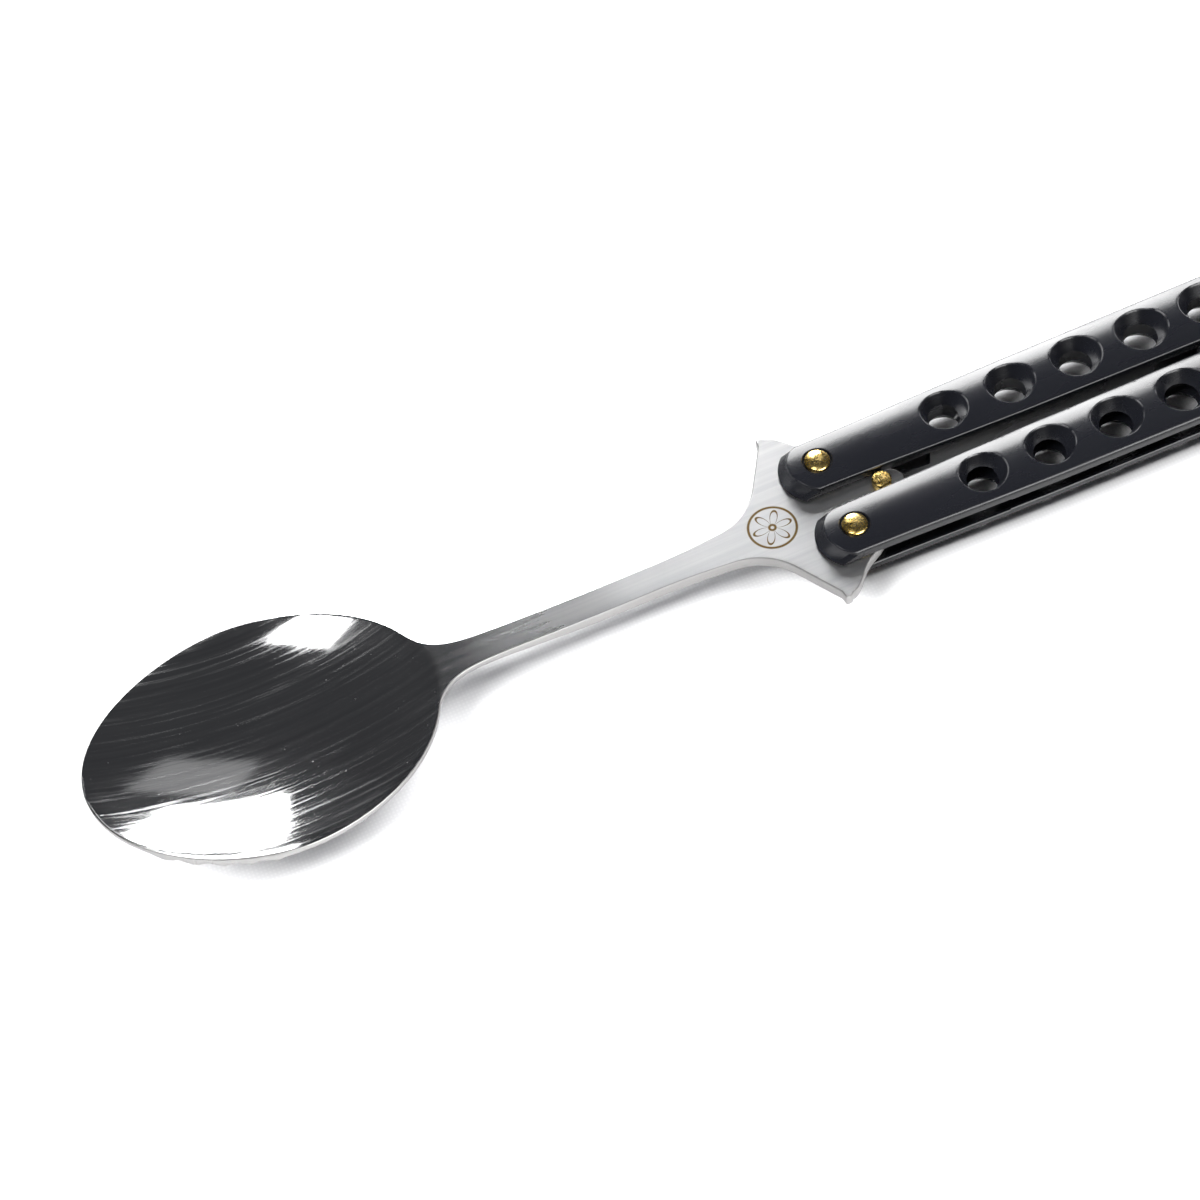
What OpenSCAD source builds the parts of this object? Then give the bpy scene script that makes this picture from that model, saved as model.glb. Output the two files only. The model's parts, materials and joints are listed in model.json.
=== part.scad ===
// Butterfly spoon: a steel spoon whose tang is held by two swinging channel handles.
// X runs from the bowl to the free end of the handles, Z is up, and the origin is on the
// table under the middle of the whole object. Lengths are in millimetres.

/* [Hinges] */
// Height of the middle of the tang above the table
mid_z = 5.25; // [5.2:0.05:5.6]
// Distance between the two hinge axes
pivot_gap = 13.8; // [13.7:0.1:14.4]
// Radius of a pivot pin's shaft
pin_r = 1.6; // [1.4:0.1:1.8]
// Radius of a pivot pin's domed head
head_r = 2.1; // [2:0.05:2.2]
// Height of a pin head above the handle
head_proud = 0.5; // [0.3:0.1:0.6]
// Radial play between a moving bore and its pin
play = 0.05; // [0.03:0.01:0.08]

/* [Spoon] */
// Hinge line to the tip of the bowl
tip_reach = 127.4; // [124:0.2:132]
// Width of the bowl across its widest place
bowl_w = 42.6; // [40:0.2:44]
// Widest place of the bowl to the tip
bowl_front = 28.9; // [27:0.1:31]
// Widest place of the bowl to its shoulders
bowl_back = 28.5; // [27:0.1:29]
// Height that the rim gains towards the tip
tip_rise = 3.0; // [2:0.1:4]
// Height that the neck gains between the tang and the bowl
neck_rise = 0.8; // [0.4:0.1:1.2]
// Width of the neck
neck_w = 4.9; // [4.5:0.1:5.5]
// Thickness of the tang and the neck
tang_t = 2.3; // [2.1:0.1:2.4]
// Thickness of the bowl
bowl_t = 1.3; // [1.1:0.1:1.6]
// Height of the tang's stop pin
stop_h = 5.3; // [4:0.1:6]

/* [Handles] */
// Hinge axis to the centre of the rounded free end
handle_l = 116; // [114:0.5:118]
// Thickness of a handle at its crown
handle_t = 8.4; // [8.2:0.1:8.8]
// Radius of the crowned top and bottom faces
crown_r = 12.6; // [11:0.1:16]
// Height of the pocket that takes the tang and its washers
pocket_h = 3.0; // [2.9:0.1:3.2]
// Height of the channel behind the pocket
channel_h = 2.6; // [2.5:0.1:2.8]
// Thickness of the spine that joins the two plates
spine_t = 1.7; // [1.4:0.1:2]
// Radius of the rounded nose, at the pocket
nose_r = 6.5; // [6:0.1:6.6]
// Radius of the nose at the crown
nose_top_r = 4.9; // [4.5:0.1:5.2]
// Number of countersunk holes
hole_n = 8; // [6:1:8]
// Distance between two holes
hole_pitch = 12; // [11.5:0.1:12]
// Hinge axis to the first hole
hole_x = 22.7; // [22:0.1:23]
// Rim radius of the first hole
hole_r = 4.05; // [3.8:0.05:4.1]
// Growth of the rim radius from each hole to the next
hole_grow = 0.165; // [0.1:0.005:0.17]
// Radius of a hole's narrow waist, as a share of its rim radius
waist = 0.61; // [0.5:0.01:0.65]

/* [Latch] */
// Radius of the latch pin
latch_pin_r = 1.25; // [1.1:0.05:1.4]
// Width of the latch arm
latch_w = 4.4; // [4:0.1:5]
// Thickness of the latch arm
latch_t = 2.2; // [2:0.1:2.3]
// Height of the latch's cross bar
bar_h = 9.8; // [9:0.1:10.2]
// Thickness of the cross bar along the arm
bar_t = 2.6; // [2:0.1:3]

/* [Hidden] */
$fn = 96;
STEEL = "silver";
BLACK = "dimgray";
BRASS = "gold";
eps = 0.01;

// the two hinge axes
pivot_y = pivot_gap / 2;
bar_x = pivot_gap + 6.6;
pivot_x = (tip_reach - handle_l - bar_x - bar_t) / 2;

// half widths of a handle at places along it
HANDLE_EDGE = [[0, 4.8], [8, 4.95], [21, 5.35], [34, 5.65], [58, 5.9], [handle_l, 6.3]];
end_r = 6.3;
spine_from = 17.6;
spine_to = handle_l - 7.4;
window_from = 58;
window_l = 8;
pocket_to = 25;
// the seat that a pin's head is sunk into
seat_r = 2.45;
seat_d = 0.5;
washer_r = 4.2;
washer_t = 0.3;

// the pin in the tang that both handles stop against
stop_x = 8.1;
stop_r = 1.6;

// the latch's boss, and the heel that stops it against the spine
boss_r = 3;
heel_r = 1.2;
heel_at = 200;
heel_reach = 7.8;

// the spoon's outline, measured from the hinge line towards the bowl as negative x
bowl_x = bowl_front - tip_reach;
shoulder_x = bowl_x + bowl_back - 1.5;
flare = 3.1;
flare_l = 3;
tang_top = tang_t / 2;
neck_bend_x = -40;
neck_bend_l = 28;
tip_bend_x = bowl_x + 23.5;
bowl_depth = mid_z + rim_z(bowl_x) - bowl_t;

function smooth(t) = let(u = min(max(t, 0), 1)) u * u * (3 - 2 * u);
function rim_z(x) = tang_top + neck_rise * smooth((neck_bend_x - x) / neck_bend_l)
    + tip_rise * pow(max(tip_bend_x - x, 0) / (tip_reach + tip_bend_x), 2.2);
// 1 at the bowl's widest place, and 0 at its tip and its back; the front is a little pointed
front_power = 1.7;
function ellipse_at(x) = x < bowl_x
    ? 1 - pow((bowl_x - x) / bowl_front, front_power)
    : 1 - pow((x - bowl_x) / bowl_back, 2);
function half_w(x) = x < shoulder_x
    ? bowl_w / 2 * sqrt(max(ellipse_at(x), 0))
    : neck_w / 2 + flare * exp(-(x - shoulder_x - 1) / flare_l);
// how far inside the bowl's ellipse a place is: 1 at its middle, 0 at its rim
function inside(x, y) = max(ellipse_at(x) - pow(2 * y / bowl_w, 2), 0);
function dish(x, y) = bowl_depth * pow(inside(x, y), 0.85);
// the blank thins from the neck to the bowl
function blank_t(x) = tang_t - 2 * eps + (bowl_t - tang_t) * smooth((neck_bend_x - x) / neck_bend_l);

// stations from the tip, close together where the outline turns fast
front_n = 10;
back_n = 10;
flare_n = 3;
neck_n = 3;
neck_end = -24;
STATIONS = concat(
    [for (i = [1:front_n]) bowl_x - bowl_front * cos(90 * i / front_n)],
    [for (i = [1:back_n]) bowl_x + (bowl_back - 1.5) * sin(90 * i / back_n)],
    [for (i = [1:flare_n]) shoulder_x + 9.6 * i / flare_n],
    [for (i = [1:neck_n]) shoulder_x + 9.6 + (neck_end - shoulder_x - 9.6) * i / neck_n]);
across_n = 10;
ring_n = 2 * (across_n + 1);

// one closed ring: the upper surface from -y to +y, and the lower one back again
function ring(x) = let(w = half_w(x) - (x > shoulder_x ? eps : 0)) concat(
    [for (j = [0:across_n]) let(y = -w * cos(180 * j / across_n))
        [x, y, rim_z(x) - dish(x, y) - eps]],
    [for (j = [0:across_n]) let(y = w * cos(180 * j / across_n))
        [x, y, rim_z(x) - dish(x, y) - eps - blank_t(x)]]);

// the bowl and the neck, lofted through the rings
module blank() {
    last = len(STATIONS) - 1;
    points = [for (x = STATIONS) each ring(x)];
    sides = [for (i = [0:last - 1], j = [0:ring_n - 1]) let(k = (j + 1) % ring_n)
        each [[i * ring_n + j, i * ring_n + k, (i + 1) * ring_n + j],
            [i * ring_n + k, (i + 1) * ring_n + k, (i + 1) * ring_n + j]]];
    // each end is closed by a strip between its upper and lower points
    tip_cap = [for (j = [0:across_n - 1]) [ring_n - 1 - j, ring_n - 2 - j, j + 1, j]];
    neck_cap = [for (f = tip_cap) [for (k = [3:-1:0]) last * ring_n + f[k]]];
    polyhedron(points, concat(sides, tip_cap, neck_cap));
}

// one half of the guard: the neck flares along an arc into a straight, slanted wing
module wing_outline() {
    arc_c = [-20.4, 14.1];
    arc_r = 11;
    polygon(concat(
        [[-27, -1], [-27, neck_w / 2 + 0.1]],
        [for (a = [-85:5:-30]) arc_c + arc_r * [cos(a), sin(a)]],
        [for (a = [150:-30:30]) [-5.3, 16.4] + 0.75 * [cos(a), sin(a)]],
        [[-3.2, 15.9], [-1.9, 14.5], [-0.7, 13], [1, 11.8], [4.8, pivot_y], [5.2, -1]]));
}

module tang_outline() {
    wing_outline();
    mirror([0, 1]) wing_outline();
    for (s = [-1, 1]) translate([0, s * pivot_y]) circle(4.8);
    translate([0, -2.3]) square([9.6, 4.6]);
    translate([9.6, 0]) circle(2.3);
}

module spoon() {
    color(STEEL) translate([pivot_x, 0, mid_z]) {
        blank();
        difference() {
            translate([0, 0, -tang_top]) linear_extrude(tang_t) tang_outline();
            for (s = [-1, 1]) translate([0, s * pivot_y, -5]) cylinder(h = 10, r = pin_r + play);
            translate([stop_x, 0, -5]) cylinder(h = 10, r = stop_r);
        }
    }
}

// the stop pin that both handles rest against when they are open
module tang_pin() {
    half = stop_h / 2;
    color(BRASS) translate([pivot_x + stop_x, 0, mid_z]) rotate_extrude()
        polygon([[0, -half], [stop_r - 0.2, -half], [stop_r, 0.2 - half],
            [stop_r, half - 0.2], [stop_r - 0.2, half], [0, half]]);
}

module handle_outline() {
    polygon(concat(
        [for (p = HANDLE_EDGE) [p[0], -p[1]]],
        [for (i = [len(HANDLE_EDGE) - 1:-1:0]) [HANDLE_EDGE[i][0], HANDLE_EDGE[i][1]]]));
    translate([handle_l, 0]) circle(end_r);
}

// the nose narrows from the pocket towards both crowns
module nose() {
    edge = HANDLE_EDGE[0][1];
    half = handle_t / 2;
    slope_h = half - pocket_h / 2;
    intersection() {
        union() {
            translate([0, 0, -pocket_h / 2]) cylinder(h = pocket_h, r = nose_r);
            translate([0, 0, pocket_h / 2]) cylinder(h = slope_h, r1 = nose_r, r2 = nose_top_r);
            translate([0, 0, -half]) cylinder(h = slope_h, r1 = nose_top_r, r2 = nose_r);
        }
        translate([-nose_r - 1, -edge, -half]) cube([nose_r + 1 + eps, 2 * edge, handle_t]);
    }
}

// one countersink, open upwards, from the slot to above the crown
module countersink(r) {
    low = channel_h / 2 - 0.1;
    rise = handle_t / 2 - low;
    over = 1.5;
    narrow = waist * r;
    translate([0, 0, low]) cylinder(h = rise + over, r1 = narrow, r2 = r + (r - narrow) * over / rise);
}

// a handle about its own hinge axis, with its spine on the -y side
module handle_body() {
    half = handle_t / 2;
    reach = 12;
    difference() {
        intersection() {
            union() {
                translate([0, 0, -half]) linear_extrude(handle_t) handle_outline();
                nose();
            }
            crown_bar(half - crown_r);
            crown_bar(crown_r - half);
        }
        // the pocket for the tang, open on both sides up to the spine
        translate([-reach, -reach, -pocket_h / 2]) cube([reach + spine_from, 2 * reach, pocket_h]);
        translate([0, spine_t - HANDLE_EDGE[2][1], -pocket_h / 2]) cube([pocket_to, reach, pocket_h]);
        // the channel, open on the +y side, and through the spine at its window and its end
        translate([0, spine_t - HANDLE_EDGE[3][1], -channel_h / 2])
            cube([handle_l + reach, 2 * reach, channel_h]);
        translate([window_from, -reach, -channel_h / 2]) cube([window_l, 2 * reach, channel_h]);
        translate([spine_to, -reach, -channel_h / 2]) cube([reach + reach, 2 * reach, channel_h]);
        for (i = [0:hole_n - 1]) translate([hole_x + i * hole_pitch, 0, 0]) {
            countersink(hole_r + i * hole_grow);
            mirror([0, 0, 1]) countersink(hole_r + i * hole_grow);
        }
        // the pin's bore, and a seat for its head in each crown
        translate([0, 0, -half - 1]) cylinder(h = handle_t + 2, r = pin_r);
        for (s = [0, 1]) mirror([0, 0, s]) translate([0, 0, half - seat_d]) cylinder(h = 2, r = seat_r);
    }
}

// the long round bar whose side is one crown
module crown_bar(z) {
    translate([-20, 0, z]) rotate([0, 90, 0]) cylinder(h = 160, r = crown_r);
}

module far_handle() {
    color(BLACK) translate([pivot_x, pivot_y, mid_z]) handle_body();
}

module near_handle() {
    color(BLACK) translate([pivot_x, -pivot_y, mid_z]) difference() {
        mirror([0, 1, 0]) handle_body();
        translate([handle_l, 0, -handle_t]) cylinder(h = 2 * handle_t, r = latch_pin_r);
    }
}

// a pin with a low domed head at each end, sunk a little into its seats
module pivot_pin(side) {
    top = handle_t / 2 + head_proud;
    seat = handle_t / 2 - seat_d;
    dome = top - seat - 0.3;
    color(BRASS) translate([pivot_x, side * pivot_y, mid_z]) rotate_extrude()
        polygon(concat(
            [for (a = [-90:10:0]) [head_r * cos(a), dome * sin(a) - seat - 0.3]],
            [[head_r, -seat], [pin_r, -seat], [pin_r, seat], [head_r, seat]],
            [for (a = [0:10:90]) [head_r * cos(a), seat + 0.3 + dome * sin(a)]]));
}
module far_pivot_pin() { pivot_pin(1); }
module near_pivot_pin() { pivot_pin(-1); }

// thin washers between the tang and the handles' ears
module washer(side, up) {
    z = up > 0 ? tang_top : -tang_top - washer_t;
    color(BRASS) translate([pivot_x, side * pivot_y, mid_z + z]) difference() {
        cylinder(h = washer_t, r = washer_r);
        translate([0, 0, -1]) cylinder(h = 2, r = pin_r + 2 * play);
    }
}
module far_upper_washer() { washer(1, 1); }
module far_lower_washer() { washer(1, -1); }
module near_upper_washer() { washer(-1, 1); }
module near_lower_washer() { washer(-1, -1); }

// a T-shaped latch: its arm lies in the end slots, and its bar hooks over the other handle
module latch() {
    color(STEEL) translate([pivot_x + handle_l, -pivot_y, mid_z]) {
        difference() {
            translate([0, 0, -latch_t / 2]) linear_extrude(latch_t) {
                circle(boss_r);
                translate([0, -latch_w / 2]) square([bar_x + eps, latch_w]);
                rotate(heel_at) translate([0, -heel_r]) square([heel_reach, 2 * heel_r]);
                rotate(heel_at) translate([heel_reach, 0]) circle(heel_r);
            }
            translate([0, 0, -5]) cylinder(h = 10, r = latch_pin_r + play);
        }
        translate([bar_x, -3.4, -bar_h / 2]) cube([bar_t, 6.8, bar_h]);
    }
}

module latch_pin() {
    half = handle_t / 2 - 0.1;
    color(BRASS) translate([pivot_x + handle_l, -pivot_y, mid_z - half])
        cylinder(h = 2 * half, r = latch_pin_r);
}

spoon();
tang_pin();
far_handle();
near_handle();
far_pivot_pin();
near_pivot_pin();
far_upper_washer();
far_lower_washer();
near_upper_washer();
near_lower_washer();
latch();
latch_pin();
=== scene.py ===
"""A butterfly spoon: the looks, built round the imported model.

Lengths are millimetres in the model's own frame: X from the bowl to the free ends of the
handles, Z up, and the origin on the table. Surface.build turns them into metres.
"""
import json
import math

import bmesh
import bpy
import numpy as np
from mathutils import Matrix

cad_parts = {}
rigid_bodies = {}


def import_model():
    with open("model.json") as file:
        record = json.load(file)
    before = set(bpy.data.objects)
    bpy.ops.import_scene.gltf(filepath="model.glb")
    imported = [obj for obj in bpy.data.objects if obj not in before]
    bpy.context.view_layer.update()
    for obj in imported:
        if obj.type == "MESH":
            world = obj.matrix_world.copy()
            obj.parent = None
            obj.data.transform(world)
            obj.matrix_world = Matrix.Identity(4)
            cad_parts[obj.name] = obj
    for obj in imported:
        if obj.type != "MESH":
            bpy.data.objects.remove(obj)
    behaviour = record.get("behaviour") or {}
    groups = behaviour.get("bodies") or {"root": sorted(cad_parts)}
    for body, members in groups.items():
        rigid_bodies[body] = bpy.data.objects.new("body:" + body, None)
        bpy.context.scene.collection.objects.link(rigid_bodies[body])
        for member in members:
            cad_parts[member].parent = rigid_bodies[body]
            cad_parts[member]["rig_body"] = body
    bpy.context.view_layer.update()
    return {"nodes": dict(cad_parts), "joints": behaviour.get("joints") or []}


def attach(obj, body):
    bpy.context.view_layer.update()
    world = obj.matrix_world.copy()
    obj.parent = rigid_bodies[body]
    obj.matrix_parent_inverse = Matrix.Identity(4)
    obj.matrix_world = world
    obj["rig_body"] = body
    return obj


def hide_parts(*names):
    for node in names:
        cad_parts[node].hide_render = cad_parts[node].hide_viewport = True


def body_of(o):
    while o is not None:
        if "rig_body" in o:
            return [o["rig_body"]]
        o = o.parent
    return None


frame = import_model()

MM = 0.001
hinges = {joint["name"]: np.array(joint["pos_m"]) / MM for joint in frame["joints"]}
PIVOT_X, _, MID_Z = hinges["far_swing"]
HANDLE_L = hinges["latch_swing"][0] - PIVOT_X


# ---------------------------------------------------------------- mesh tools

class Surface:
    """Gathers grids of points, then welds them into one mesh."""

    def __init__(self):
        self.points = []
        self.faces = []
        self.wear_and_shade = []
        self.count = 0

    def grid(self, points, loop=False, wear_and_shade=0.0):
        """One quad between each four neighbours of a (rows, columns, 3) array.

        With loop, the last column joins the first. The edge mark (last argument) is 1 on edges: on
        the paint the finish rubs off there; on the steel they are painted darker there as shade."""
        rows, columns = points.shape[:2]
        index = self.count + np.arange(rows * columns).reshape(rows, columns)
        if loop:
            index = np.hstack([index, index[:, :1]])
        corners = [index[:-1, :-1], index[1:, :-1], index[1:, 1:], index[:-1, 1:]]
        self.faces.append(np.stack(corners, -1).reshape(-1, 4))
        self.points.append(points.reshape(-1, 3))
        self.wear_and_shade.append(np.broadcast_to(wear_and_shade, (rows, columns)).reshape(-1))
        self.count += rows * columns

    def rings(self, rings, wear_and_shade=0.0):
        """A grid through closed rings of the same number of points."""
        self.grid(np.stack(rings), loop=True, wear_and_shade=wear_and_shade)

    def block(self, rings):
        """A bar through four-cornered rings, closed by a face at each end."""
        self.rings(rings)
        for ring in (rings[0], rings[-1]):
            self.grid(np.stack([ring[[0, 1]], ring[[3, 2]]]))

    def mirrored(self, axis):
        """Adds the mirror image of everything so far, across the plane where axis is 0."""
        flip = np.ones(3)
        flip[axis] = -1
        self.points += [p * flip for p in self.points]
        self.faces += [f + self.count for f in self.faces]
        self.wear_and_shade += list(self.wear_and_shade)
        self.count *= 2

    def build(self, name, body, slot, material, place=(0, 0, 0), turn=(1, 1, 1), sharp=38):
        """Welds the grids, points the faces outwards and hands the piece to its body."""
        points = (np.concatenate(self.points) * turn + place) * MM
        mesh = bpy.data.meshes.new(name)
        mesh.from_pydata(points.tolist(), [], np.concatenate(self.faces).tolist())
        wear_and_shade = mesh.attributes.new("wear_and_shade", "FLOAT", "POINT")
        wear_and_shade.data.foreach_set("value", np.concatenate(self.wear_and_shade).astype(np.float32))
        return finish_piece(mesh, name, body, material, sharp)


def finish_piece(mesh, name, body, material, sharp):
    """Merges doubles, recalculates normals and makes the mesh a piece of that body."""
    work = bmesh.new()
    work.from_mesh(mesh)
    bmesh.ops.remove_doubles(work, verts=work.verts, dist=0.002 * MM)
    bmesh.ops.dissolve_degenerate(work, edges=work.edges, dist=0.001 * MM)
    bmesh.ops.recalc_face_normals(work, faces=work.faces)
    work.to_mesh(mesh)
    work.free()
    mesh.polygons.foreach_set("use_smooth", np.ones(len(mesh.polygons), bool))
    mesh.set_sharp_from_angle(angle=math.radians(sharp))
    piece = bpy.data.objects.new(name, mesh)
    bpy.context.scene.collection.objects.link(piece)
    mesh.materials.append(material)
    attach(piece, body)
    return piece


def between(start, end, steps):
    """Steps + 1 arrays from start to end, evenly spaced."""
    t = np.linspace(0, 1, steps + 1).reshape(-1, *[1] * np.ndim(start))
    return start + (end - start) * t


def soften(node, width, material):
    """A merged copy of a CAD node whose edges are rounded by a bevel, in place of the node."""
    mesh = frame["nodes"][node].data.copy()
    mesh.materials.clear()
    piece = finish_piece(mesh, node + "_finished", body_of(frame["nodes"][node])[0],
                         material, 30)
    bevel = piece.modifiers.new("rounded edges", "BEVEL")
    bevel.width = width * MM
    bevel.segments = 2
    bevel.limit_method = "ANGLE"
    bevel.angle_limit = math.radians(40)
    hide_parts(node)
    return piece


# ---------------------------------------------------------------- materials

class Shader:
    """A short way to write a material's nodes."""

    def __init__(self, name, **constants):
        self.material = bpy.data.materials.new(name)
        self.material.use_nodes = True
        self.tree = self.material.node_tree
        self.shader = self.tree.nodes["Principled BSDF"]
        for socket, value in constants.items():
            self.shader.inputs[socket.replace("_", " ")].default_value = value
        self.place = self.node("ShaderNodeTexCoord").outputs["Object"]

    def node(self, kind, inputs=(), **settings):
        made = self.tree.nodes.new(kind)
        for key, value in settings.items():
            setattr(made, key, value)
        for key, value in dict(inputs).items():
            self.feed(made.inputs[key], value)
        return made

    def feed(self, socket, value):
        if isinstance(value, bpy.types.NodeSocket):
            self.tree.links.new(value, socket)
        else:
            socket.default_value = value

    def stretched(self, scale, centre=(0, 0, 0)):
        """Object coordinates, centred and stretched, in cycles per metre."""
        mapping = self.node("ShaderNodeMapping", {
            "Vector": self.place, "Location": [-c * s for c, s in zip(centre, scale)],
            "Scale": scale})
        return mapping.outputs["Vector"]

    def noise(self, scale, detail=3.0, rough=0.55, distort=0.0):
        made = self.node("ShaderNodeTexNoise", {
            "Vector": self.stretched(scale), "Scale": 1.0, "Detail": detail,
            "Roughness": rough, "Distortion": distort})
        return made.outputs["Fac"]

    def math(self, operation, *values):
        made = self.node("ShaderNodeMath", enumerate(values), operation=operation)
        return made.outputs[0]

    def ramp(self, value, low, high, out_low=0.0, out_high=1.0):
        made = self.node("ShaderNodeMapRange", {
            "Value": value, "From Min": low, "From Max": high,
            "To Min": out_low, "To Max": out_high})
        return made.outputs["Result"]

    def mix(self, factor, a, b):
        made = self.node("ShaderNodeMix", data_type="RGBA")
        self.feed(made.inputs["Factor"], factor)
        self.feed(made.inputs["A"], a)
        self.feed(made.inputs["B"], b)
        return made.outputs["Result"]

    def bump(self, height, distance, strength=1.0, under=None):
        inputs = {"Height": height, "Distance": distance, "Strength": strength}
        if under is not None:
            inputs["Normal"] = under
        return self.node("ShaderNodeBump", inputs).outputs["Normal"]

    def set(self, socket, value):
        self.feed(self.shader.inputs[socket], value)


def brushed_steel(name, brush_depth, rough_low, rough_high, ornament=False):
    """Polished steel brushed along X: long fine lines, cloudy gloss, a few specks, and rounded
    edges made rougher and painted dark grey as shade. With ornament, the brushing coarsens from
    the neck to the tang, which bears the rosette."""
    steel = Shader(name, Metallic=1.0)
    lines = steel.noise((45, 4200, 0), detail=4, rough=0.6)
    broad = steel.noise((11, 1100, 0), detail=3)
    cloud = steel.noise((90, 90, 90), detail=3)
    specks = steel.ramp(steel.noise((1300, 1300, 1300), detail=1), 0.755, 0.79)
    rough_cut_and_shade = steel.node("ShaderNodeAttribute", attribute_name="wear_and_shade").outputs["Fac"]
    colour = steel.mix(steel.ramp(broad, 0.35, 0.7), (0.70, 0.70, 0.71, 1), (0.80, 0.80, 0.80, 1))
    gloss = steel.ramp(steel.math("ADD", cloud, broad), 0.75, 1.25, rough_low, rough_high)
    gloss = steel.math("ADD", gloss, steel.math("MULTIPLY", specks, 0.15))
    gloss = steel.math("ADD", gloss, steel.math("MULTIPLY", rough_cut_and_shade, 0.2))
    # painted shade: the marked rounded edges are darkened to grey as if in shade; the added
    # roughness is the cut edge's own
    colour = steel.mix(rough_cut_and_shade, colour, (0.36, 0.355, 0.35, 1))
    height = steel.math("ADD", lines, steel.math("MULTIPLY", broad, 1.6))
    streaks = steel.ramp(steel.noise((36, 1900, 0), detail=5, rough=0.7), 0.5, 0.64, 0, 0.15)
    if ornament:
        along = steel.node("ShaderNodeSeparateXYZ", {"Vector": steel.place}).outputs["X"]
        coarse = steel.ramp(along, (PIVOT_X - 84) * MM, (PIVOT_X - 34) * MM)
        height = steel.math("MULTIPLY", height, steel.ramp(coarse, 0, 1, 1, 1.6))
        gloss = steel.math("ADD", gloss, steel.math("MULTIPLY", coarse, 0.3))
        streaks = steel.math("MULTIPLY", streaks, steel.ramp(coarse, 0, 0.6, 1, 0))
        mark = rosette(steel)
        colour = steel.mix(mark, colour, (0.17, 0.105, 0.035, 1))
        gloss = steel.math("ADD", gloss, steel.math("MULTIPLY", mark, 0.25))
    steel.set("Base Color", colour)
    steel.set("Roughness", steel.math("ADD", gloss, streaks))
    steel.set("Normal", steel.bump(height, brush_depth * MM))
    return steel.material


ROSETTE_REACH = 11.2
ROSETTE_Y = 0.2


def rosette(steel):
    """An etched ring with a six-leaved rose in it: 1 on the lines, 0 elsewhere.

    A leaf is where the distance from the centre is the leaf length times |cos(3 angle)|."""
    ring_r, line, leaf, leaves = 3.9, 0.27, 3.2, 3
    centre = [MM * c for c in (PIVOT_X - ROSETTE_REACH, ROSETTE_Y, 0.0)]
    place = steel.node("ShaderNodeSeparateXYZ", {
        "Vector": steel.stretched((1 / MM, 1 / MM, 0), centre)})
    x, y = place.outputs["X"], place.outputs["Y"]
    far = steel.math("SQRT", steel.math("ADD", steel.math("MULTIPLY", x, x),
                                        steel.math("MULTIPLY", y, y)))
    angle = steel.math("ARCTAN2", y, x)
    wave = steel.math("ABSOLUTE", steel.math("COSINE", steel.math("MULTIPLY", angle, leaves)))
    edge = steel.math("SUBTRACT", far, steel.math("MULTIPLY", wave, leaf))
    marks = []
    for gap in (steel.math("SUBTRACT", far, ring_r), edge, steel.math("SUBTRACT", far, 0.5)):
        marks.append(steel.ramp(steel.math("ABSOLUTE", gap), line, line * 0.5))
    top = steel.math("MAXIMUM", marks[0], steel.math("MAXIMUM", marks[1], marks[2]))
    return steel.math("MULTIPLY", top, steel.ramp(far, ring_r + 1, ring_r + 0.9))


def black_paint():
    """Smooth black paint over metal, rubbed bright along its sharpest edges."""
    paint = Shader("black_paint", Specular_IOR_Level=0.38)
    grain = paint.noise((5200, 5200, 5200), detail=2)
    cloud = paint.noise((70, 260, 260), detail=3)
    wear_and_shade = paint.node("ShaderNodeAttribute", attribute_name="wear_and_shade").outputs["Fac"]
    patchy = paint.ramp(paint.noise((420, 420, 420), detail=4), 0.42, 0.62)
    rubbed = paint.math("MULTIPLY", paint.ramp(wear_and_shade, 0.55, 1.0), patchy)
    rubbed = paint.math("MULTIPLY", rubbed, 0.25)
    paint.set("Base Color", paint.mix(rubbed, (0.0075, 0.008, 0.0105, 1), (0.42, 0.42, 0.43, 1)))
    paint.set("Metallic", rubbed)
    paint.set("Roughness", paint.ramp(cloud, 0.3, 0.7, 0.23, 0.31))
    paint.set("Normal", paint.bump(grain, 0.0012 * MM))
    return paint.material


def polished_brass():
    """Polished brass, unevenly peened into shallow facets."""
    brass = Shader("polished_brass", Metallic=1.0)
    facets = brass.node("ShaderNodeTexVoronoi", {
        "Vector": brass.stretched((1, 1, 1)), "Scale": 950.0}, feature="SMOOTH_F1")
    brass.feed(facets.inputs["Smoothness"], 0.45)
    fine = brass.noise((2600, 2600, 2600), detail=3)
    cloud = brass.noise((500, 500, 500), detail=2)
    colour = brass.mix(brass.ramp(cloud, 0.35, 0.68), (0.83, 0.56, 0.16, 1), (0.96, 0.74, 0.30, 1))
    brass.set("Base Color", colour)
    brass.set("Roughness", brass.ramp(fine, 0.3, 0.7, 0.2, 0.34))
    under = brass.bump(facets.outputs["Distance"], 0.07 * MM)
    brass.set("Normal", brass.bump(fine, 0.006 * MM, under=under))
    return brass.material


def pale_cloth():
    """A plain pale cloth with a faint even weave."""
    cloth = Shader("pale_cloth", Roughness=0.9, Specular_IOR_Level=0.1)
    waves = []
    for across in ((3300, 0, 0), (0, 3300, 0)):
        wave = cloth.node("ShaderNodeTexWave", {
            "Vector": cloth.stretched(across), "Scale": 0.3, "Distortion": 0.6,
            "Detail": 1.0}, bands_direction="DIAGONAL")
        waves.append(wave.outputs["Fac"])
    weave = cloth.math("MULTIPLY", *waves)
    cloth.set("Base Color", cloth.mix(weave, (0.82, 0.82, 0.83, 1), (0.87, 0.87, 0.875, 1)))
    cloth.set("Normal", cloth.bump(weave, 0.02 * MM, strength=0.5))
    return cloth.material


STEEL = brushed_steel("brushed_steel", 0.0042, 0.06, 0.12, ornament=True)
LATCH_STEEL = brushed_steel("latch_steel", 0.002, 0.2, 0.32)
BLACK = black_paint()
BRASS = polished_brass()


# ---------------------------------------------------------------- the spoon

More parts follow.
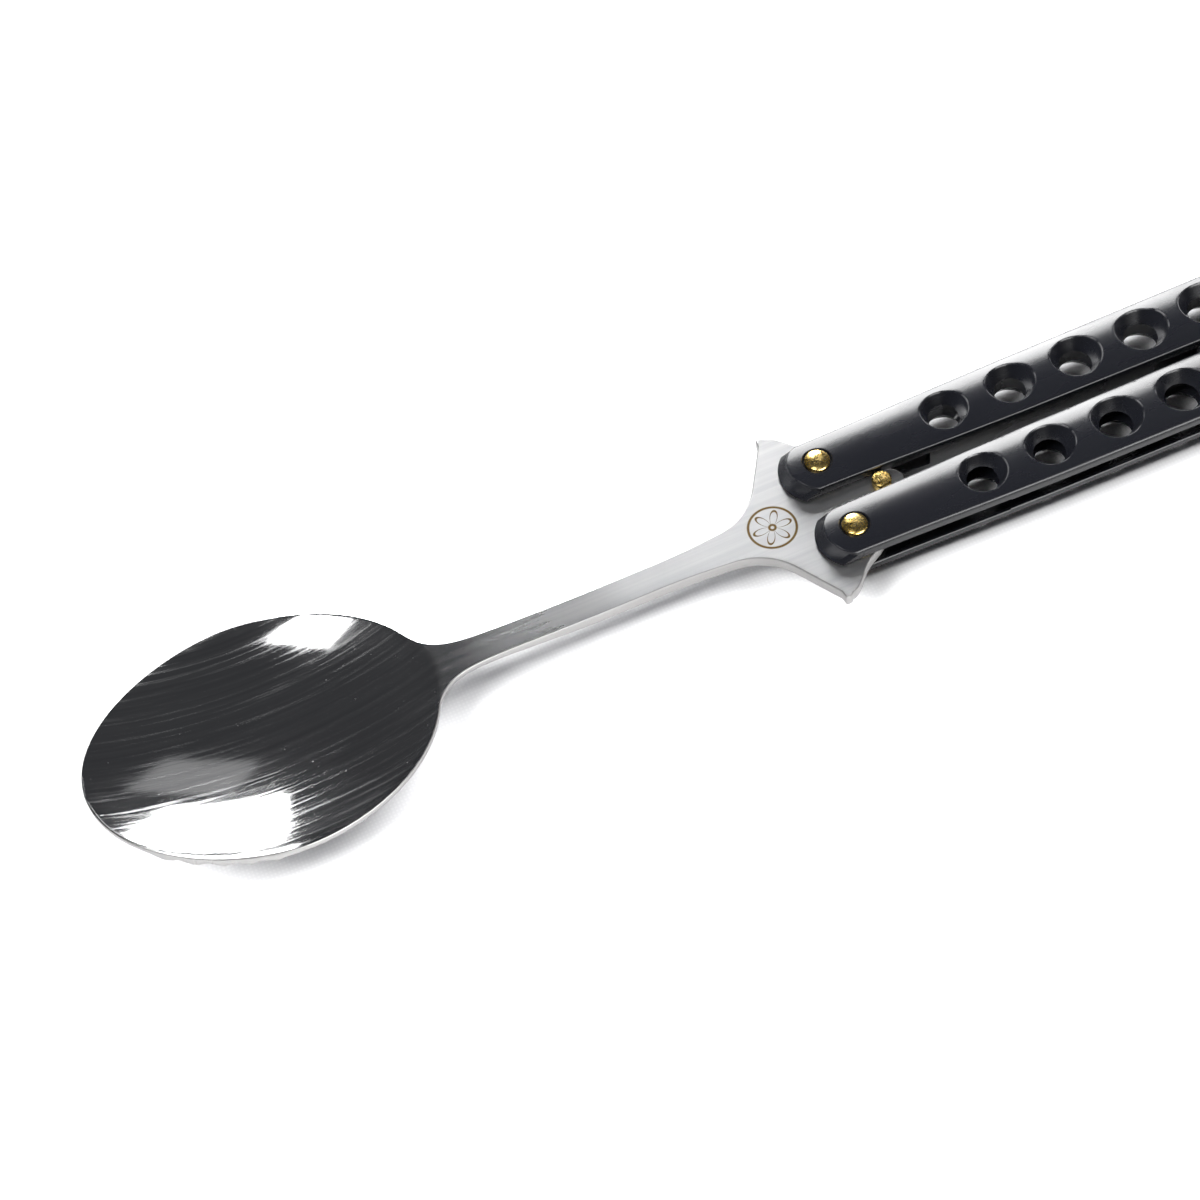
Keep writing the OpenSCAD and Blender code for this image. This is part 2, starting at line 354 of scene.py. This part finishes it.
TIP_REACH = 127.4
BOWL_HALF_W = 21.3
BOWL_FRONT = 28.9
BOWL_BACK = 28.5
BOWL_X = BOWL_FRONT - TIP_REACH
SHOULDER_X = BOWL_X + BOWL_BACK - 1.5
NECK_HALF_W = 2.45
TANG_T = 2.3
BOWL_T = 1.3
NECK_BEND_X = -40
NECK_BEND_L = 28
NECK_RISE = 0.8
TIP_RISE = 3.0
TIP_BEND_X = BOWL_X + 23.5
FRONT_POWER = 1.7


def smooth(t):
    t = np.clip(t, 0, 1)
    return t * t * (3 - 2 * t)


def rim_z(x):
    """Height of the rim above the tang's middle: it steps up along the neck and curves
    up again towards the tip."""
    lift = np.maximum(TIP_BEND_X - x, 0) / (TIP_REACH + TIP_BEND_X)
    return TANG_T / 2 + NECK_RISE * smooth((NECK_BEND_X - x) / NECK_BEND_L) + TIP_RISE * lift ** 2.2


def ellipse(x):
    """1 at the bowl's widest place, falling to 0 at its tip and at its back."""
    front = 1 - np.maximum((BOWL_X - x) / BOWL_FRONT, 0) ** FRONT_POWER
    back = 1 - np.maximum((x - BOWL_X) / BOWL_BACK, 0) ** 2
    return np.clip(np.where(x < BOWL_X, front, back), 0, 1)


BOWL_DEPTH = MID_Z + float(rim_z(BOWL_X)) - BOWL_T


def dish(x, y):
    """Depth of the bowl below its rim."""
    inside = np.maximum(ellipse(x) - (y / BOWL_HALF_W) ** 2, 0)
    return BOWL_DEPTH * inside ** 0.85


def blank_t(x):
    return TANG_T + (BOWL_T - TANG_T) * smooth((NECK_BEND_X - x) / NECK_BEND_L)


def arc(centre, radius, start, end, count):
    a = np.radians(np.linspace(start, end, count))
    return np.array(centre) + radius * np.stack([np.cos(a), np.sin(a)], 1)


def curve(start, pull_a, pull_b, end, count):
    """A cubic Bezier curve's points."""
    t = np.linspace(0, 1, count)[:, None]
    a, b, c, d = (np.array(p) for p in (start, pull_a, pull_b, end))
    return a * (1 - t) ** 3 + 3 * b * t * (1 - t) ** 2 + 3 * c * t * t * (1 - t) + d * t ** 3


def spoon_outline():
    """Half of the outline from the tip to the tang's tail, with X always growing: the
    bowl, the neck's flare, the concave arc of the guard, its wing, and the hidden tang."""
    a = np.radians(np.linspace(0.5, 90, 44))
    x = BOWL_X - BOWL_FRONT * np.cos(a)
    front = np.stack([x, BOWL_HALF_W * np.sqrt(ellipse(x))], 1)
    a = np.radians(np.linspace(0, 90, 42))[1:]
    x = BOWL_X + (BOWL_BACK - 1.5) * np.sin(a)
    back = np.stack([x, BOWL_HALF_W * np.sqrt(ellipse(x))], 1)
    x = np.concatenate([np.linspace(SHOULDER_X + 0.3, -61, 16), np.linspace(-59, -31, 18)])
    neck = np.stack([x, NECK_HALF_W + 3.1 * np.exp(-(x - SHOULDER_X - 1) / 3)], 1)
    root = np.array([[-29.0, 2.5], [-27.0, 2.57], [-25.0, 2.68], [-23.0, 2.83], [-21.3, 2.98]])
    guard = arc((-20.4, 14.1), 11, -85, -30, 20)
    edge = between(np.array([-10.5, 9.2]), np.array([-6.6, 15.7]), 10)
    wing = arc((-5.9, 16.1), 1.05, 158, 32, 11)
    hook = curve((-4.6, 16.6), (-2.2, 15.4), (-1.9, 13.2), (1.2, 11.7), 10)
    boss = arc((0, 6.9), 4.8, 68, -18, 10)
    tail = np.concatenate([[[5.6, 4.0], [7.5, 2.9], [9.0, 2.45]], arc((9.6, 0), 2.3, 85, 2, 8)])
    outline = np.concatenate([front, back, neck, root, guard, edge, wing, hook, boss, tail])
    order = np.concatenate([[True], np.diff(np.maximum.accumulate(outline[:, 0])) > 0.02])
    return outline[order]


def spoon():
    """Rings across the outline. Each goes over the upper surface, round one edge, back
    under the lower surface and round the other edge; the edges are rounded by arcs."""
    path = spoon_outline()
    ahead = np.gradient(path, axis=0)
    normal = np.stack([-ahead[:, 1], ahead[:, 0]], 1)
    normal /= np.linalg.norm(normal, axis=1, keepdims=True)
    x = path[:, 0]
    thick = blank_t(x)
    fillet = np.minimum(0.26, thick * 0.22) * np.clip(path[:, 1] / 1.2, 0.2, 1)
    across = -np.cos(np.linspace(0, np.pi, 45))

    def station(inset, share):
        """Points at a share of the half width, with the outline moved in by inset."""
        edge = path - normal * inset[:, None]
        sx = x[:, None] + (edge[:, :1] - x[:, None]) * np.abs(share)
        sy = np.maximum(edge[:, 1:], 0.02) * share
        return sx, sy

    def upper(sx, sy):
        return MID_Z + rim_z(x)[:, None] - dish(x[:, None] + 0 * sx, sy)

    columns = []
    wear_and_shade = []
    turns = np.radians([0, 30, 60, 90])
    sx, sy = station(fillet, across[None, :])
    top = np.stack([sx, sy, upper(sx, sy)], 2)
    low = top[:, ::-1] - np.array([0, 0, 1]) * thick[:, None, None]
    for side, flat in ((1, top), (-1, low)):
        columns.append(flat)
        wear_and_shade.append(np.zeros(flat.shape[1]))
        edge_top = top[:, -1 if side > 0 else 0, 2]
        for ends, drop in ((turns[1:], 0.0), (turns[::-1][:-1], 1.0)):
            for turn in ends:
                inset = fillet * (1 - math.sin(turn))
                fall = fillet * (1 - math.cos(turn))
                down = thick - fall if (drop > 0) else fall
                if side < 0:
                    down = thick - down
                ex, ey = station(inset, np.array([[float(side)]]))
                columns.append(np.stack([ex[:, 0], ey[:, 0], edge_top - down], 1)[:, None])
                # the rounded edges are marked 1, and the steel paints them darker as shade
                wear_and_shade.append(np.ones(1))
    rings = np.concatenate(columns, 1)
    rings = serrate(rings, wear_and_shade)
    surface = Surface()
    surface.grid(rings, loop=True, wear_and_shade=np.concatenate(wear_and_shade)[None, :])
    half = rings.shape[1] // 2
    for end in (rings[0], rings[-1]):
        surface.grid(np.stack([end[:half], end[half:][::-1]]))
    return surface


def serrate(rings, wear_and_shade):
    """Small teeth hang below the near side's rim, each a triangle wave along the edge."""
    first, last, pitch, height = -121.5, -101.0, 3.9, 0.65
    x, y, z = rings[..., 0], rings[..., 1], rings[..., 2]
    wave = np.abs(((x - first) / pitch) % 1 - 0.5) * 2
    along = smooth((x - first + 1) / 2) * smooth((last - x + 1) / 2)
    rim = MID_Z + rim_z(x)
    under = smooth((rim - z - 0.25) / 0.5) * np.concatenate(wear_and_shade)[None, :]
    near = (y < 0) * under * along
    rings = rings.copy()
    rings[..., 1] -= near * height * (1 - wave) * 0.35
    rings[..., 2] -= near * height * (1 - wave)
    return rings


piece = spoon().build("bowl_neck_and_tang", "spoon_body", "steel", STEEL,
                      place=(PIVOT_X, 0, 0), sharp=50)
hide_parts("spoon")


# ---------------------------------------------------------------- the handles

HALF_T = 4.2
CROWN_R = 12.6
POCKET_Z = 1.5
CHANNEL_Z = 1.3
POCKET_TO = 25.0
WIDTHS = np.array([[0, 4.8], [8, 4.95], [21, 5.35], [34, 5.65], [58, 5.9], [HANDLE_L, 6.3]])
END_R = 6.3
NOSE_CROWN_R = 4.8
NOSE_CROWN_GROW = 0.3
NOSE_R = 6.5
ARRIS = 0.5
SPINE_ARRIS = 0.25
CHAMFER = 0.1
SKIRT_IN = 0.06
HOLE_N = 8
HOLE_X = 22.7
PITCH = 12.0
HOLE_R = 4.05
HOLE_GROW = 0.165
WAIST = 0.61
SEAT_R = 2.45
SEAT_D = 0.5
SEAT_EASE = 0.1
EYE_EASE = 0.08
RIM = 0.2
PIN_R = 1.6
LATCH_PIN_R = 1.25
SPINE_Y = -3.95
SPINE_PARTS = ((17.6, 58.0), (66.0, HANDLE_L - 7.4))


def crown(y):
    """Height of the crowned face: a circular arc across the handle."""
    return HALF_T - CROWN_R + np.sqrt(CROWN_R ** 2 - y ** 2)


def half_width(x):
    return np.interp(x, WIDTHS[:, 0], WIDTHS[:, 1])


def slot_z(x):
    return np.where(x < POCKET_TO, POCKET_Z, CHANNEL_Z)


def stations(start, end):
    """Places along a straight stretch, with a pair at the pocket's step."""
    step = np.array([POCKET_TO - 0.02, POCKET_TO + 0.02])
    x = np.concatenate([np.linspace(start, end, 15), step[(step > start) & (step < end)]])
    return np.unique(x)


class Level:
    """One level of a handle plate's outline: the nose's radius there, and how far the
    mouth side (+Y) and the spine side lie inside the full width."""

    def __init__(self, nose, mouth_in, spine_in):
        self.nose_r = nose
        self.mouth_in = mouth_in
        self.spine_in = spine_in

    def mouth(self, start, end):
        """Along the mouth side from the higher X down to the lower."""
        x = stations(start, end)[::-1]
        return np.stack([x, half_width(x) - self.mouth_in], 1)

    def spine(self, start, end):
        x = stations(start, end)
        return np.stack([x, self.spine_in - half_width(x)], 1)

    def cross(self, x):
        """Across the handle at x, from the spine side up to the mouth side."""
        w = half_width(x)
        y = np.linspace(self.spine_in - w, w - self.mouth_in, 17)
        return np.stack([np.full(17, x), y], 1)

    def nose(self):
        """Round the nose from the mouth side: a straight, the arc, and a straight."""
        halves = []
        for inset in (self.mouth_in, self.spine_in):
            w = half_width(0) - inset
            a = math.asin(w / self.nose_r)
            straight = np.linspace(0, -self.nose_r * math.cos(a), 6)[1:-1]
            t = np.linspace(a, 0, 13)
            bend = np.stack([-self.nose_r * np.cos(t), self.nose_r * np.sin(t)], 1)
            halves.append(np.concatenate([np.stack([straight, np.full(4, w)], 1), bend]))
        return np.concatenate([halves[0], halves[1][-2::-1] * (1, -1)])

    def end(self):
        """Round the free end from the spine side to the mouth side."""
        a = np.radians(np.linspace(-90, 90, 25))
        inset = self.spine_in + (self.mouth_in - self.spine_in) * (np.sin(a) + 1) / 2
        r = END_R - inset
        return np.stack([HANDLE_L + r * np.cos(a), r * np.sin(a)], 1)

    def outline(self):
        parts = [self.end()]
        for low, high in CELLS[::-1]:
            parts.append(self.mouth(low, high)[1:])
        parts.append(self.nose())
        for low, high in CELLS:
            parts.append(self.spine(low, high)[:-1])
        return np.concatenate(parts)

    def cell(self, number):
        """The outline of one cell of the plate, the stretch that holds one hole."""
        low, high = CELLS[number]
        is_last = number == len(CELLS) - 1
        parts = [self.end() if is_last else self.cross(high), self.mouth(low, high)[1:]]
        if number == 0:
            parts += [self.nose(), self.spine(low, high)[:-1]]
        else:
            parts += [self.cross(low)[::-1][1:], self.spine(low, high)[1:-1]]
        return np.concatenate(parts)


BOUNDS = [0.0] + [HOLE_X + PITCH * (i - 0.5) for i in range(HOLE_N + 1)] + [HANDLE_L]
CELLS = list(zip(BOUNDS[:-1], BOUNDS[1:]))
TURNS = np.radians([0, 22, 45, 68, 90])
# the crown's outline, then the arris rounded in steps, each with its drop below the crown
TOP_LEVELS = [(Level(NOSE_CROWN_R + NOSE_CROWN_GROW * math.sin(t), ARRIS * (1 - math.sin(t)),
                     SPINE_ARRIS * (1 - math.sin(t))), ARRIS * (1 - math.cos(t))) for t in TURNS]
SKIRT = Level(NOSE_R - SKIRT_IN, 0.0, 0.0)
SOLE = Level(NOSE_R - CHAMFER, CHAMFER, 0.0)


def lift(xy, z):
    return np.concatenate([xy, np.broadcast_to(z, len(xy))[:, None]], 1)


def round_hole(surface, number, centre, widths):
    """Closes one cell round its hole. widths gives the hole's rings from the crown down to
    the slot, each as (radius at each angle, height at each angle, wear)."""
    outer = lift(TOP_LEVELS[0][0].cell(number), 0)
    angle = np.arctan2(outer[:, 1], outer[:, 0] - centre)
    rings = []
    for radius, height, _ in widths(angle):
        x = centre + radius * np.cos(angle)
        rings.append(np.stack([x, radius * np.sin(angle), height + 0 * x], 1))
    face = between(rings[0], outer, 7)
    face[..., 2] = crown(face[..., 1])
    surface.grid(face, loop=True)
    surface.rings(rings, wear_and_shade=np.array([w for _, _, w in widths(angle)])[:, None])
    sole_xy = SOLE.cell(number)
    sole = lift(sole_xy, slot_z(sole_xy[:, 0]))
    bottom = between(rings[-1], sole, 3)
    surface.grid(bottom, loop=True)


def countersink(number):
    """Rings of a countersunk hole: a rounded rim, a cone, and the waist at the slot."""
    r = HOLE_R + HOLE_GROW * (number - 1)
    narrow = WAIST * r
    low = CHANNEL_Z - 0.1
    centre = HOLE_X + PITCH * (number - 1)

    def cone_r(z):
        return narrow + (r - narrow) * (z - low) / (HALF_T - low)

    def widths(angle):
        edge = np.full(len(angle), r)
        for _ in range(8):
            edge = cone_r(crown(edge * np.sin(angle)))
        top = crown(edge * np.sin(angle))
        waist = slot_z(centre + narrow * np.cos(angle))
        rings = [(edge + RIM, crown((edge + RIM) * np.sin(angle)), 0.0),
                 (edge + RIM * 0.35, top - RIM * 0.12, 1.0),
                 (cone_r(top - RIM * 0.6), top - RIM * 0.6, 1.0)]
        for t in np.linspace(0.12, 1, 6):
            z = (top - RIM * 0.6) * (1 - t) + waist * t
            rings.append((cone_r(z), z, 0.0))
        return rings

    return centre, widths


def stepped(radii):
    """A stepped hole's rings, each from a (radius, height, drop below it). A height is a
    number, "crown" for the crowned face, or "slot" for the face of the slot."""
    def widths(angle):
        rings = []
        for radius, height, drop in radii:
            faces = {"crown": crown(radius * np.sin(angle)), "slot": slot_z(0 * angle)}
            rings.append((np.full(len(angle), radius), faces.get(height, height) - drop, 0.0))
        return rings
    return widths


def plain_end(surface):
    """Closes the last cell, which has no hole, with a fan on its crown and its sole."""
    for level, height in ((TOP_LEVELS[0][0], HALF_T), (SOLE, CHANNEL_Z)):
        outer = lift(level.cell(HOLE_N + 1), height)
        fan = between(np.tile([HANDLE_L, 0, height], (len(outer), 1)), outer, 7)
        if level is not SOLE:
            fan[..., 2] = crown(fan[..., 1])
        surface.grid(fan, loop=True)


def handle(pinned):
    """A handle with its spine towards -Y: two plates, mirror images of each other, and
    the two stretches of spine that join them."""
    surface = Surface()
    rings = []
    for level, drop in TOP_LEVELS:
        xy = level.outline()
        rings.append(lift(xy, crown(xy[:, 1]) - drop))
    skirt = SKIRT.outline()
    rings.append(lift(skirt, slot_z(skirt[:, 0]) + CHAMFER))
    sole = SOLE.outline()
    rings.append(lift(sole, slot_z(sole[:, 0])))
    wear_and_shade = np.array([0, 0, 0, 0, 0, 0, 0.7])[:, None]
    surface.rings(rings, wear_and_shade=wear_and_shade)
    seat = stepped([(SEAT_R + SEAT_EASE, "crown", 0), (SEAT_R, "crown", SEAT_EASE),
                    (SEAT_R, HALF_T - SEAT_D, 0), (PIN_R, HALF_T - SEAT_D, 0), (PIN_R, "slot", 0)])
    round_hole(surface, 0, 0.0, seat)
    for number in range(1, HOLE_N + 1):
        round_hole(surface, number, *countersink(number))
    if pinned:
        eye = stepped([(LATCH_PIN_R + EYE_EASE, "crown", 0), (LATCH_PIN_R, "crown", EYE_EASE),
                       (LATCH_PIN_R, CHANNEL_Z, 0)])
        round_hole(surface, HOLE_N + 1, HANDLE_L, eye)
    else:
        plain_end(surface)
    surface.mirrored(2)
    for start, end in SPINE_PARTS:
        x = stations(start, end)
        z = slot_z(x)
        out = -half_width(x)
        inner = np.full(len(x), SPINE_Y)
        corners = [(out, z), (inner, z), (inner, -z), (out, -z)]
        surface.block(np.stack([np.stack([x, y, h], 1) for y, h in corners], 1))
    return surface


for name, hinge, flip in (("far", "far_swing", 1), ("near", "near_swing", -1)):
    piece = handle(pinned=name == "near").build(
        name + "_handle_finished", name + "_arm", "black_finish", BLACK,
        place=hinges[hinge], turn=(1, flip, 1), sharp=32)
    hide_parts(name + "_handle")


# ---------------------------------------------------------------- small parts

soften("latch", 0.3, LATCH_STEEL)
soften("tang_pin", 0.15, BRASS)
for node in ("far_pivot_pin", "near_pivot_pin", "latch_pin", "far_upper_washer",
             "far_lower_washer", "near_upper_washer", "near_lower_washer"):
    mesh = frame["nodes"][node].data
    mesh.materials.clear()
    mesh.materials.append(BRASS)


# ---------------------------------------------------------------- floor, lights, camera

def floor():
    size = 3.0
    mesh = bpy.data.meshes.new("floor")
    corners = [(-size, -size, 0), (size, -size, 0), (size, size, 0), (-size, size, 0)]
    mesh.from_pydata(corners, [], [(0, 1, 2, 3)])
    mesh.materials.append(pale_cloth())
    made = bpy.data.objects.new("floor", mesh)
    bpy.context.scene.collection.objects.link(made)


def softbox(name, place, aim, width, height, radiance, fill=False):
    """A rectangular light at place, facing aim, with an even radiance all over. A fill
    lights the cloth and shows in no polished surface; the others only show in those."""
    light = bpy.data.lights.new(name, "AREA")
    light.shape = "RECTANGLE"
    light.size = width
    light.size_y = height
    light.energy = radiance * math.pi * width * height
    made = bpy.data.objects.new(name, light)
    bpy.context.scene.collection.objects.link(made)
    back = np.array(place, float) - np.array(aim, float)
    back /= np.linalg.norm(back)
    right = np.cross((0, 0, 1), back)
    right /= np.linalg.norm(right)
    axes = np.stack([right, np.cross(back, right), back], 1)
    made.matrix_world = Matrix.Translation(place) @ Matrix(axes.tolist()).to_4x4()
    made.visible_glossy = not fill
    made.visible_diffuse = fill


def camera():
    """Looks down at the object from the near handle's side, turned and rolled a little."""
    yaw, fall, roll = 0.259, 0.994, -0.174
    place = np.array([-111.91, -244.09, 394.53])
    ahead = math.cos(fall)
    look = np.array([math.sin(yaw) * ahead, math.cos(yaw) * ahead, -math.sin(fall)])
    level = np.array([math.cos(yaw), -math.sin(yaw), 0.0])
    rise = np.cross(level, look)
    right = math.cos(roll) * level + math.sin(roll) * rise
    up = math.cos(roll) * rise - math.sin(roll) * level
    data = bpy.data.cameras.new("camera")
    data.sensor_width = 36.0
    data.lens = 87.63
    data.clip_start = 0.01
    made = bpy.data.objects.new("camera", data)
    bpy.context.scene.collection.objects.link(made)
    axes = np.stack([right, up, -look], 1)
    made.matrix_world = Matrix.Translation((place * MM).tolist()) @ Matrix(axes.tolist()).to_4x4()
    bpy.context.scene.camera = made


def studio():
    """For the polished surfaces, a window low behind, a faint softbox high behind, and two
    softboxes in front, one low and one high. For the cloth, a fill beyond each end."""
    softbox("window", (0.29, 1.06, 0.38), (-0.06, 0, 0), 0.46, 0.72, 18)
    softbox("high_back", (0.44, 0.72, 1.02), (-0.02, 0, 0), 0.50, 0.36, 0.25)
    softbox("low_front", (0.28, -1.04, 0.53), (0, 0, 0), 0.90, 0.45, 12)
    softbox("high_front", (-0.52, -0.37, 1.0), (-0.1, 0, 0), 0.42, 0.50, 6)
    softbox("left_fill", (-1.30, 0.25, 1.20), (0, 0, 0), 1.20, 1.20, 15, fill=True)
    softbox("right_fill", (1.20, 0.25, 1.20), (0, 0, 0), 1.20, 1.20, 12, fill=True)
    world = bpy.data.worlds.new("studio")
    world.use_nodes = True
    world.node_tree.nodes["Background"].inputs["Color"].default_value = (0.042, 0.043, 0.046, 1)
    world.node_tree.nodes["Background"].inputs["Strength"].default_value = 1.0
    scene = bpy.context.scene
    scene.world = world
    scene.view_settings.view_transform = "Standard"


floor()
camera()
studio()
